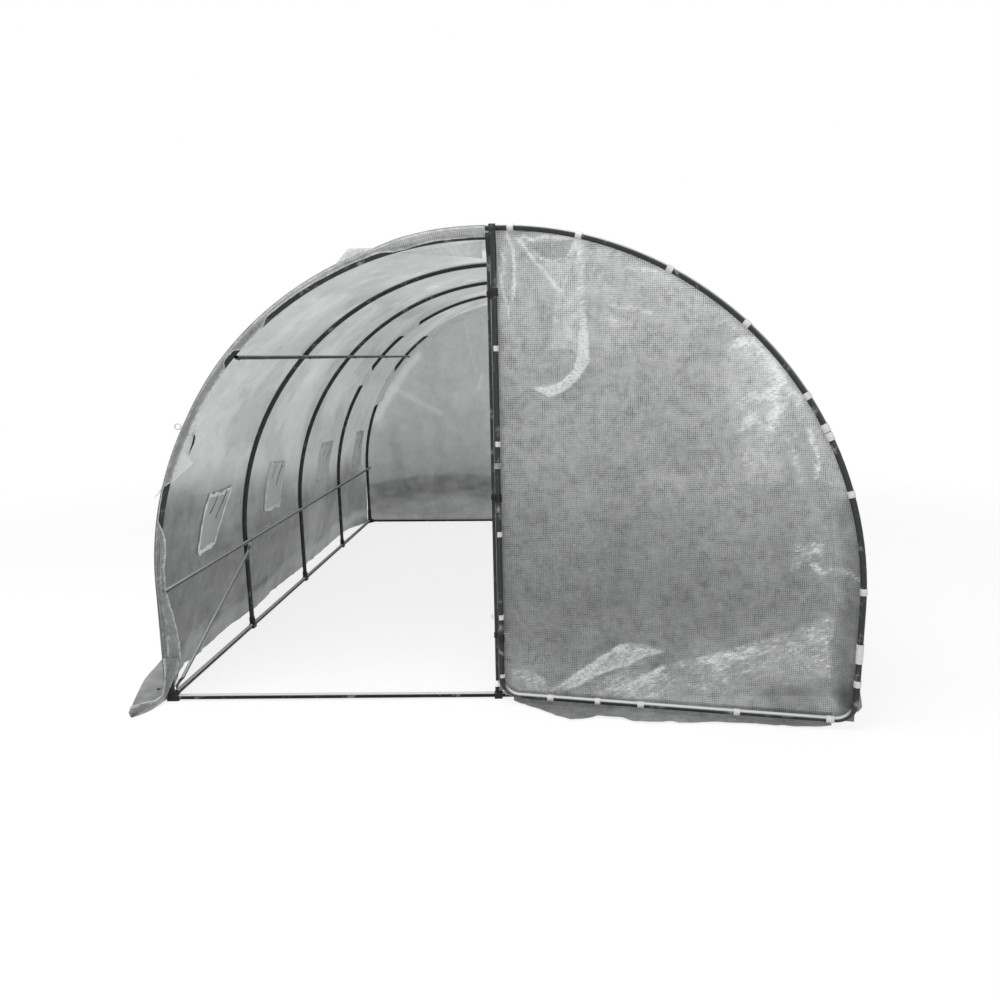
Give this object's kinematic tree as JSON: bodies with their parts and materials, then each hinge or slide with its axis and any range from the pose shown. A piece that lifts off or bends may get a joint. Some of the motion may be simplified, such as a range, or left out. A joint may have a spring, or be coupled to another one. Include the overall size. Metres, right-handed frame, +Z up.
{
  "type": "polytunnel greenhouse",
  "caption": "Walk-in polytunnel greenhouse: arched tube hoops on base rails, woven film cover with side windows, and a full-height swinging door leaf.",
  "frame": {"origin": "on the ground under the front centre post, in the plane of the front hoop", "axes": "+X to the right seen from outside the doorway, +Y along the tunnel from the doorway to the rear, +Z up"},
  "size_m": [3.56, 4.5606, 2.049],
  "materials": {
    "frame_steel": "dark grey powder coat, satin",
    "fitting_steel": "near-black coat, satin",
    "woven_film": "translucent polyethylene film over a woven grid, soft gloss",
    "window_mesh": "fine woven insect mesh, matte",
    "clip_plastic": "off-white moulded plastic, matte"
  },
  "bodies": {
    "tunnel": {"base_rail_left": "frame_steel", "base_rail_right": "frame_steel", "corner_fittings": "fitting_steel", "cover_roof_left": "woven_film", "cover_roof_right": "woven_film", "cover_shoulder_left": "woven_film", "cover_shoulder_right": "woven_film", "cover_wall_left": "woven_film", "cover_wall_right": "woven_film", "door_hinges": "fitting_steel", "front_brace_left": "frame_steel", "front_brace_right": "frame_steel", "front_post": "frame_steel", "front_sheet_right": "woven_film", "front_sill": "frame_steel", "ground_flap_left": "woven_film", "ground_flap_right": "woven_film", "high_purlin_left": "frame_steel", "high_purlin_right": "frame_steel", "hoop_1": "frame_steel", "hoop_2": "frame_steel", "hoop_3": "frame_steel", "hoop_4": "frame_steel", "hoop_5": "frame_steel", "hoop_feet": "fitting_steel", "low_purlin_left": "frame_steel", "low_purlin_right": "frame_steel", "post_feet": "fitting_steel", "rear_post": "frame_steel", "rear_sheet": "woven_film", "rear_sill": "frame_steel", "ridge_purlin": "frame_steel", "window_flap_left": "woven_film", "window_flap_right": "woven_film", "window_mesh_left": "window_mesh", "window_mesh_right": "window_mesh"},
    "leaf": {"leaf_clips": "clip_plastic", "leaf_collars": "fitting_steel", "leaf_frame": "frame_steel", "leaf_sheet": "woven_film"}
  },
  "joints": [
    {"name": "door_hinge", "type": "hinge", "parent": "tunnel", "child": "leaf", "pos_m": [0.02, -0.055, 1], "axis": [0, 0, 1], "range_deg": [-168.6, 10]}
  ]
}
